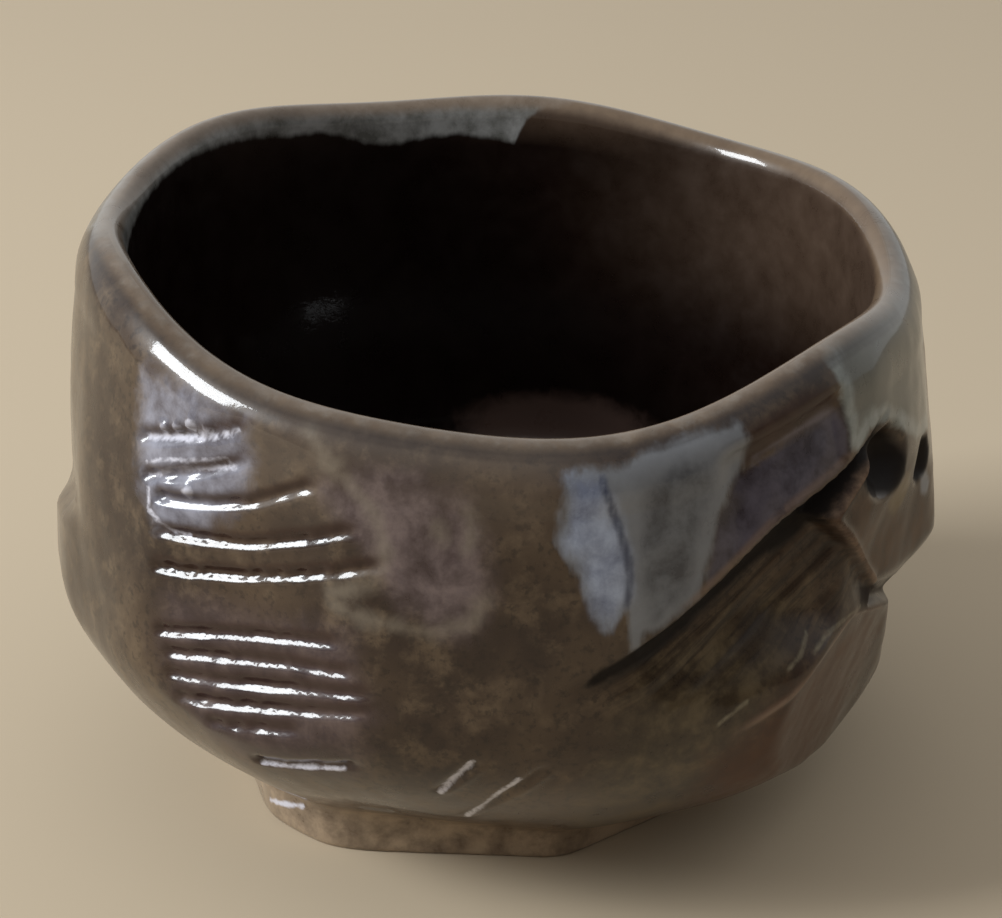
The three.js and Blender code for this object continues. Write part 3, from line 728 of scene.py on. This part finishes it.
def inner_point(bearing, down):
    start = rim_height(bearing) - LIP_INNER_DROP
    z = mix(start, BOWL_FLOOR, down)
    rise = np.clip((z - BOWL_FLOOR) / BOWL_CURVE_HEIGHT, 0, 1)
    swell = BOWL_SWELL * smooth(0, BOWL_SWELL_SHARE, down)
    wall = mouth_radius(bearing) - LIP_THICKNESS + swell - BOWL_TAPER * (start - z)
    return wall * (1 - (1 - rise) ** BOWL_CURVE) ** (1 / BOWL_CURVE), z


def lip_point(bearing, turn):
    half = (1 - LIP_CREST_SHARE) * LIP_THICKNESS
    radius = crest_radius(bearing) + half * math.cos(RAD * turn)
    return radius, rim_height(bearing) - LIP_INNER_DROP * (1 - math.sin(RAD * turn))


def line_away(x, z, points):
    """Distance in mm to a line through these points."""
    away = np.full(x.shape, 1e9)
    for (x0, z0), (x1, z1) in zip(points, points[1:]):
        way = (x1 - x0, z1 - z0)
        share = ((x - x0) * way[0] + (z - z0) * way[1]) / (way[0] ** 2 + way[1] ** 2)
        t = np.clip(share, 0, 1)
        away = np.minimum(away, np.hypot(x - x0 - t * way[0], z - z0 - t * way[1]))
    return away


def inside_outline(x, z, outline):
    """Distance in mm to the edge of an outline, positive inside it."""
    closed = outline + outline[:1]
    inside = np.zeros(x.shape, bool)
    for (x0, z0), (x1, z1) in zip(closed, closed[1:]):
        if z0 != z1:
            crosses = (z0 > z) != (z1 > z)
            inside ^= crosses & (x < x0 + (z - z0) * (x1 - x0) / (z1 - z0))
    away = line_away(x, z, closed)
    return np.where(inside, away, -away)


def column_bearings():
    fine = np.arange(FINE_FROM, FINE_TO, FINE_STEP)
    plain = np.arange(FINE_TO, FINE_FROM + 360, PLAIN_STEP)
    return np.concatenate([fine, plain])


def section_rows(bearing):
    """Rows of (radius, height, part) from the middle of the underside round to the middle of the floor.

    The part is 2 on the underside, 0 outside and 1 inside.
    """
    rows = []
    flat = 0 * bearing
    foot = foot_radius(bearing, flat)
    bevel = FOOT_HOLLOW_RADIUS + FOOT_HOLLOW_BEVEL
    for radius in np.linspace(UNDER_FIRST_RING, FOOT_HOLLOW_RADIUS, UNDER_RINGS):
        rows.append((flat + radius, flat + FOOT_HOLLOW_DEPTH, 2))
    for share in BEVEL_SHARES:
        height = FOOT_HOLLOW_DEPTH * (1 - smooth(0, 1, share))
        rows.append((flat + mix(FOOT_HOLLOW_RADIUS, bevel, share), flat + height, 2))
    for share in FOOT_RING_SHARES:
        rows.append((mix(bevel, foot - FOOT_EDGE, share), flat, 2))
    rows.append((foot - 0.3 * FOOT_EDGE, flat + 0.25 * FOOT_EDGE, 0))
    lip_start = rim_height(bearing) - LIP_OUTER_DROP
    for share in np.linspace(0, 1, WALL_ROWS):
        z = mix(flat + FOOT_EDGE, lip_start, share)
        rows.append((outer_radius(bearing, z), z, 0))
    for turn in np.linspace(0, 90, LIP_ROWS)[1:]:
        z = lip_start + LIP_OUTER_DROP * math.sin(RAD * turn)
        rows.append((outer_radius(bearing, z), z, 0))
    for turn in LIP_INSIDE_TURNS:
        rows.append((*lip_point(bearing, turn), 1))
    for share in np.linspace(0, 1, BOWL_ROWS)[1:-1]:
        radius, z = inner_point(bearing, math.sin(0.5 * math.pi * share))
        rows.append((radius, z, 1))
    return rows


def cup_mesh():
    bearing = column_bearings()
    rows = section_rows(bearing)
    radius = np.array([row[0] for row in rows])
    height = np.array([row[1] for row in rows])
    part = np.array([np.full(bearing.size, row[2]) for row in rows])
    turn = RAD * bearing[None, :]
    points = np.stack([radius * np.cos(turn), radius * np.sin(turn), height], -1).reshape(-1, 3)
    points = np.vstack([points, [0, 0, FOOT_HOLLOW_DEPTH], [0, 0, BOWL_FLOOR]])
    count = bearing.size
    ring, column = np.meshgrid(np.arange(len(rows) - 1), np.arange(count), indexing="ij")
    following = (column + 1) % count
    near = ring * count
    far = near + count
    corners = [near + column, near + following, far + following, far + column]
    quads = np.stack(corners, -1).reshape(-1, 4)
    first = np.arange(count)
    after = (first + 1) % count
    under = len(rows) * count
    last = (len(rows) - 1) * count
    faces = quads.tolist()
    faces += [[under, int(b), int(a)] for a, b in zip(first, after)]
    faces += [[under + 1, int(last + a), int(last + b)] for a, b in zip(first, after)]
    mesh = bpy.data.meshes.new("glazed_cup")
    mesh.from_pydata((points * MM).tolist(), [], faces)
    mesh.polygons.foreach_set("use_smooth", np.ones(len(faces), bool))
    mesh.update()
    add_masks(mesh, np.broadcast_to(bearing, radius.shape), height, part)
    return mesh


def painted_shade_mask(x, z, masks):
    """Painted shade in the two hollows and the spot in the notch, and under the ledge down to the flap."""
    under = ledge_height(x) - z
    over_flap = beyond(x, z, FLAP_TOP_POINT, FLAP_TOP_ACROSS)
    half = mix(SHADOW_LEFT, SHADOW_RIGHT, smooth(*SHADOW_GROWS, x))
    shade = half - np.abs(under - half - SHADOW_GAP) - FAR * (1 - span(x, SHADOW_SPAN))
    shade = np.minimum(shade, over_flap + SHADOW_OVER_FLAP)
    sides = CHANNEL_SOFTNESS * np.minimum(x - CHANNEL_LEFT, CHANNEL_RIGHT - x)
    channel = np.minimum.reduce([over_flap + CHANNEL_OVER_FLAP, under - SHADOW_GAP, sides])
    return np.maximum.reduce([shade, channel] + [masks.pop(name) for name in PAINTED_SHADE_PATCHES])


def shelf_shade_mask(x, z):
    """Painted shade on the step on top of the petal, under the notch."""
    across = SHELF_HALF_WIDTH - np.abs(z - petal_height(x) - SHELF_ABOVE)
    return np.minimum.reduce([across, SHELF_SOFTNESS * (x - SHELF_LEFT), SHELF_RIGHT - x])


def thin_glaze_and_highlight_share(x, z):
    """Paler where the glaze is thin along the top of the petal and over the ledge; this is also a painted
    highlight on these ridges.
    """
    petal = bump(z - petal_height(x) + PETAL_RIDGE_DOWN, PETAL_LINE_HALF_WIDTH) * span(x, PETAL_LINE_SPAN)
    ledge = bump(ledge_height(x) - z + LEDGE_LINE_UP, LEDGE_LINE_HALF_WIDTH) * span(x, LEDGE_LINE_SPAN)
    return np.maximum(petal, LEDGE_LINE_SHARE * ledge)


def add_masks(mesh, bearing, z, part):
    """Where each kind of glaze and of painted light and shade lies, as distances in mm from its edge,
    positive inside.
    """
    x = along(bearing)
    outside = part == 0
    inside = part == 1
    down = rim_height(bearing) - z
    turned = wrap(bearing + 90)
    round_back = turned % 360
    from_lit = np.abs(wrap(bearing - LIT_BEARING))
    masks = {}
    for name, outline in PATCHES.items():
        masks[name] = np.where(outside, inside_outline(x, z, outline), -FAR)
    for name, (points, half_width) in LINES.items():
        masks[name] = np.where(outside, half_width - line_away(x, z, points), -FAR)
    masks["streak"] = np.maximum.reduce([masks.pop(name) for name in STREAKS])
    masks["glint"] = np.maximum.reduce([masks.pop(name) for name in GLINTS])
    masks["arc"] = np.maximum.reduce([masks.pop(name) for name in ARCS])
    masks["painted_shade"] = np.where(outside, painted_shade_mask(x, z, masks), -FAR)
    masks["torn_edge_highlight"] = np.where(outside, TORN_SHARE * flap_line(x, z) - TORN_LEAST, -FAR)
    masks["shelf_shade"] = np.where(outside, shelf_shade_mask(x, z), -FAR)
    masks["foot"] = np.where(part < 2, foot_height(bearing) + FOOT_BAND - z, -FAR)
    masks["bare"] = np.where(part == 2, BARE_UNDER, -z - BARE_ABOVE_GROUND)

    masks["inside"] = np.where(inside, FAR, -FAR) * smooth(*INSIDE_STARTS, down)
    masks["crest"] = np.where(inside, CREST_DOWN_INSIDE, CREST_DOWN_OUTSIDE) - down
    crest_line = CREST_LINE_HALF_WIDTH - np.abs(down - CREST_LINE_DOWN)
    masks["crest_line"] = np.where(outside, crest_line, -FAR)
    band_at, band_low = zip(*BAND_EDGE)
    band_inside = z - np.interp(round_back, band_at, band_low)
    band_share = smooth(*BAND_OUTSIDE_RIGHT, turned) + smooth(*BAND_OUTSIDE_LEFT, turned)
    masks["rim_band"] = np.where(inside, band_inside, BAND_OUTSIDE * band_share - down)
    reflection_spot_away = (REFLECTION_SPOT_SQUEEZE[0] * (round_back - REFLECTION_SPOT_TURN), REFLECTION_SPOT_SQUEEZE[1] * (z - REFLECTION_SPOT_HEIGHT))
    masks["reflection_spot"] = np.where(inside, REFLECTION_SPOT_RADIUS - np.hypot(*reflection_spot_away), -FAR)

    lit_side = (1 - smooth(*LIT_REACH, from_lit)) * smooth(*LIT_HEIGHTS, z)
    under_lip = (1 - smooth(*UNDER_LIP_REACH, from_lit)) * smooth(*UNDER_LIP_HEIGHTS, z)
    masks["lit_side"] = np.where(inside, np.maximum(lit_side, under_lip), 0)
    upper = UPPER_SHARE * smooth(*UPPER_HEIGHTS, z) * span(x, UPPER_SPAN)
    masks["upper"] = np.where(outside, upper, 0)
    masks["combed"] = np.where(outside, comb(bearing, x, z)[1], 0)
    masks["cut"] = np.where(outside, cut_share(x, z), 0)
    masks["thin_glaze_and_highlight"] = np.where(outside, thin_glaze_and_highlight_share(x, z), 0)

    for name, values in masks.items():
        layer = mesh.attributes.new(name, "FLOAT", "POINT")
        middle = 0.0 if name in SHARE_MASKS else -FAR
        ends = [middle, FAR if name == "inside" else middle]
        spread = np.append(np.clip(values, -FAR, FAR).ravel(), ends)
        layer.data.foreach_set("value", spread.astype(np.float32))
    drawn = mesh.attributes.new("drawn", "FLOAT_VECTOR", "POINT")
    side = np.stack([x + 0 * z, z - LEDGE_SLOPE * x, 0 * z], -1).reshape(-1, 3)
    side = np.vstack([side, [0, 0, 0], [0, 0, 0]])
    drawn.data.foreach_set("vector", side.astype(np.float32).ravel())


class Nodes:
    """Short calls for building a material's nodes."""

    def __init__(self, tree):
        self.tree = tree

    def make(self, kind, **settings):
        node = self.tree.nodes.new(kind)
        for name, value in settings.items():
            setattr(node, name, value)
        return node

    def put(self, socket, value):
        if isinstance(value, bpy.types.NodeSocket):
            self.tree.links.new(value, socket)
        else:
            socket.default_value = value

    def math(self, operation, a, b=0.0, clamp=False):
        node = self.make("ShaderNodeMath", operation=operation, use_clamp=clamp)
        self.put(node.inputs[0], a)
        self.put(node.inputs[1], b)
        return node.outputs[0]

    def field(self, name):
        node = self.make("ShaderNodeAttribute", attribute_name=name)
        return node.outputs["Fac"]

    def noise(self, vector, scale, detail=2.0, roughness=0.5, distortion=0.0):
        node = self.make("ShaderNodeTexNoise")
        self.put(node.inputs["Vector"], vector)
        node.inputs["Scale"].default_value = scale
        node.inputs["Detail"].default_value = detail
        node.inputs["Roughness"].default_value = roughness
        node.inputs["Distortion"].default_value = distortion
        return node.outputs["Fac"]

    def ranged(self, value, low, high, to_low=0.0, to_high=1.0):
        node = self.make("ShaderNodeMapRange", interpolation_type="SMOOTHSTEP")
        self.put(node.inputs["Value"], value)
        node.inputs["From Min"].default_value = low
        node.inputs["From Max"].default_value = high
        node.inputs["To Min"].default_value = to_low
        node.inputs["To Max"].default_value = to_high
        return node.outputs["Result"]

    def blend(self, share, a, b):
        node = self.make("ShaderNodeMix", data_type="RGBA")
        self.put(node.inputs[0], share)
        self.put(node.inputs[6], a)
        self.put(node.inputs[7], b)
        return node.outputs[2]

    def scaled(self, vector, scale):
        node = self.make("ShaderNodeVectorMath", operation="MULTIPLY")
        self.put(node.inputs[0], vector)
        node.inputs[1].default_value = scale
        return node.outputs[0]

    def ragged(self, name, noise, width, rag, strength=1.0):
        """A mask with an edge that noise makes uneven."""
        shifted = self.math("MULTIPLY_ADD", noise, 2 * rag)
        shifted.node.inputs[2].default_value = -rag
        edge = self.math("ADD", self.field(name), shifted)
        return self.ranged(edge, -width, width, 0.0, strength)


def glaze_material():
    material = bpy.data.materials.new("glaze")
    material.use_nodes = True
    nodes = Nodes(material.node_tree)
    shader = material.node_tree.nodes["Principled BSDF"]
    place = nodes.make("ShaderNodeTexCoord").outputs["Object"]
    drawn = nodes.make("ShaderNodeAttribute", attribute_name="drawn").outputs["Vector"]

    broad = nodes.noise(place, 70, 3.0, 0.55, 0.4)
    mottle = nodes.noise(place, 300, 5.0, 0.65, 0.15)
    fine = nodes.noise(place, 1300, 3.0, 0.6)
    edge = nodes.noise(place, 420, 3.0, 0.6, 0.8)
    flow = nodes.noise(nodes.scaled(place, (1.0, 1.0, 0.35)), 620, 3.0, 0.6, 0.1)
    scratch = nodes.noise(nodes.scaled(drawn, (0.12, 1.0, 1.0)), 1.1, 3.0, 0.6)
    noises = {"edge": edge, "fine": fine, "flow": flow}
    tones = {
        "soft": mottle,
        "clear": nodes.ranged(mottle, 0.3, 0.7),
        "patchy": nodes.ranged(mottle, 0.35, 0.7),
        "clay": nodes.ranged(fine, 0.3, 0.7),
    }
    laid = {}

    def two_tone(tone, low, high):
        return nodes.blend(tones[tone], srgb(*low), srgb(*high))

    def lay(names, under):
        """Each of these glazes over what lies under it."""
        for name in names:
            noise, softness, rag, strength, tone, *colours = GLAZES[name]
            laid[name] = nodes.ragged(name, noises[noise], softness, rag, strength)
            over = two_tone(tone, *colours) if tone else srgb(*colours[0])
            under = nodes.blend(laid[name], under, over)
        return under

    colour = nodes.blend(nodes.ranged(broad, 0.35, 0.65), srgb(42, 29, 22), srgb(70, 55, 41))
    colour = nodes.blend(nodes.ranged(mottle, 0.45, 0.72, 0, 0.75), colour, srgb(94, 78, 60))
    colour = nodes.blend(nodes.ranged(fine, 0.5, 0.68, 0, 0.6), colour, srgb(30, 20, 15))
    colour = nodes.blend(nodes.field("upper"), colour, srgb(132, 120, 108))
    # The foot band laid here is a painted reflection of the floor
    colour = lay(UNDER_CUT, colour)
    cut_dark = nodes.math("MULTIPLY", nodes.field("cut"), nodes.ranged(scratch, 0.35, 0.6, 0.75, 0.0))
    colour = nodes.blend(cut_dark, colour, srgb(28, 20, 16))
    # Among the wall glazes are a painted sheen, painted shade on the step over the shallow cut, and a
    # painted reflection in that cut
    colour = lay(ON_WALL, colour)

    # The patch is paler along its edge than in its middle
    patch = nodes.ragged("patch", edge, 0.4, 0.6, 0.9)
    depth = nodes.math("ADD", nodes.field("patch"), nodes.math("MULTIPLY", edge, 1.2))
    rim = two_tone("clear", (108, 114, 112), (146, 152, 150))
    middle = two_tone("soft", (72, 74, 70), (104, 106, 100))
    colour = nodes.blend(patch, colour, nodes.blend(nodes.ranged(depth, 1.4, 2.6), rim, middle))
    # The drips, then the painted highlights on the scored lines, beads, nicks and foot
    colour = lay(ON_PATCH, colour)

    # Inside the cup: painted shade, with a painted lit side
    deep = two_tone("soft", (10, 4, 2), (22, 11, 7))
    lit = two_tone("soft", (44, 32, 24), (82, 66, 54))
    inner = nodes.blend(nodes.field("lit_side"), deep, lit)
    colour = nodes.blend(nodes.ragged("inside", edge, 1.0, 0.4), colour, inner)
    # A painted reflection inside, the grey band, and the crest with its painted highlight
    colour = lay(AT_LIP, colour)

    # Painted shade along the upper side of each scored line
    colour = nodes.blend(nodes.math("MULTIPLY", nodes.field("combed"), 0.8), colour, srgb(42, 18, 14))
    # Thin glaze and a painted highlight along the petal's top and the ledge
    thin_glaze_and_highlight = nodes.math("MULTIPLY", nodes.field("thin_glaze_and_highlight"), nodes.ranged(edge, 0.3, 0.55, 0.3, 0.9))
    colour = nodes.blend(thin_glaze_and_highlight, colour, srgb(122, 100, 84))
    # Painted shade and painted highlights, then the bare clay
    colour = lay(ON_TOP, colour)
    nodes.put(shader.inputs["Base Color"], colour)

    dull = nodes.math("MAXIMUM", laid["bare"], laid["painted_shade"])
    rough = nodes.ranged(mottle, 0.3, 0.75, 0.26, 0.42)
    rough = nodes.math("ADD", rough, nodes.math("MULTIPLY", dull, 0.45))
    nodes.put(shader.inputs["Roughness"], rough)
    shader.inputs["Specular IOR Level"].default_value = 0.2
    shader.inputs["Coat Roughness"].default_value = 0.06
    shader.inputs["Coat IOR"].default_value = 1.5
    dull = nodes.math("MAXIMUM", dull, nodes.math("MULTIPLY", nodes.field("cut"), 0.75))
    for name, share in DULL.items():
        dull = nodes.math("MAXIMUM", dull, nodes.math("MULTIPLY", laid[name], share))
    coat = nodes.math("SUBTRACT", COAT, nodes.math("MULTIPLY", dull, COAT), clamp=True)
    nodes.put(shader.inputs["Coat Weight"], coat)

    relief = nodes.math("ADD", nodes.math("MULTIPLY", mottle, 0.6), nodes.math("MULTIPLY", fine, 0.12))
    drag = nodes.math("MULTIPLY", nodes.field("cut"), nodes.math("MULTIPLY", scratch, 1.6))
    bump_node = nodes.make("ShaderNodeBump")
    bump_node.inputs["Strength"].default_value = 0.5
    bump_node.inputs["Distance"].default_value = 0.00008
    nodes.put(bump_node.inputs["Height"], nodes.math("ADD", relief, drag))
    nodes.put(shader.inputs["Normal"], bump_node.outputs[0])
    nodes.put(shader.inputs["Coat Normal"], bump_node.outputs[0])
    return material


def floor_material():
    material = bpy.data.materials.new("floor")
    material.use_nodes = True
    shader = material.node_tree.nodes["Principled BSDF"]
    shader.inputs["Base Color"].default_value = srgb(*FLOOR_COLOUR)
    shader.inputs["Roughness"].default_value = 0.8
    shader.inputs["Specular IOR Level"].default_value = 0.2
    return material


def add_floor():
    mesh = bpy.data.meshes.new("floor")
    corners = [(-1, -1), (1, -1), (1, 1), (-1, 1)]
    points = [(FLOOR_REACH * x, FLOOR_REACH * y, 0) for x, y in corners]
    mesh.from_pydata(points, [], [(0, 1, 2, 3)])
    floor = bpy.data.objects.new("floor", mesh)
    mesh.materials.append(floor_material())
    bpy.context.scene.collection.objects.link(floor)


def add_light(name, place, size, power, colour):
    data = bpy.data.lights.new(name, "AREA")
    data.shape = "RECTANGLE"
    data.size, data.size_y = size
    data.energy = power
    data.color = colour
    lamp = bpy.data.objects.new(name, data)
    lamp.location = place
    aim = Vector(LIGHT_TARGET) - Vector(place)
    lamp.rotation_euler = aim.to_track_quat("-Z", "Y").to_euler()
    bpy.context.scene.collection.objects.link(lamp)


def add_world():
    """Soft light from above and behind, and a dimmer, warmer room in front."""
    world = bpy.data.worlds.new("room")
    world.use_nodes = True
    nodes = Nodes(world.node_tree)
    way = nodes.make("ShaderNodeTexCoord").outputs["Generated"]
    parts = nodes.make("ShaderNodeSeparateXYZ")
    nodes.put(parts.inputs[0], way)
    back = nodes.ranged(parts.outputs["Y"], -0.6, 0.7)
    top = nodes.ranged(parts.outputs["Z"], 0.1, 0.9)
    right = nodes.ranged(parts.outputs["X"], -0.1, 0.6)
    level = nodes.blend(back, nodes.blend(right, ROOM_FRONT, ROOM_RIGHT), ROOM_BACK)
    level = nodes.blend(top, level, ROOM_TOP)
    background = world.node_tree.nodes["Background"]
    nodes.put(background.inputs["Color"], level)
    background.inputs["Strength"].default_value = 1.0
    bpy.context.scene.world = world


def add_camera():
    data = bpy.data.cameras.new("camera")
    data.sensor_width = SENSOR
    data.lens = CAMERA_FOCAL * SENSOR
    data.clip_start = CAMERA_NEAR
    camera = bpy.data.objects.new("camera", data)
    camera.location = Vector(CAMERA_PLACE) * MM
    camera.rotation_euler = (RAD * (90 - CAMERA_PITCH), 0, 0)
    bpy.context.scene.collection.objects.link(camera)
    bpy.context.scene.camera = camera


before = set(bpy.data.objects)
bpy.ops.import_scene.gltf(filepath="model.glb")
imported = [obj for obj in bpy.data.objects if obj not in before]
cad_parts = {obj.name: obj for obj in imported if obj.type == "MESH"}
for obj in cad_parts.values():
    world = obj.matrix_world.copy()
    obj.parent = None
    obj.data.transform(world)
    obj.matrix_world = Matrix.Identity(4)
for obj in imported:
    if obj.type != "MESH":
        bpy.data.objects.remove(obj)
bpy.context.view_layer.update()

cup = bpy.data.objects.new("glazed_cup", cup_mesh())
bpy.context.scene.collection.objects.link(cup)
cup.data.materials.append(glaze_material())
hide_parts("sake_cup")
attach(cup, "root")

add_floor()
add_light("window", *WINDOW)
add_world()
add_camera()
bpy.context.scene.view_settings.view_transform = "Standard"
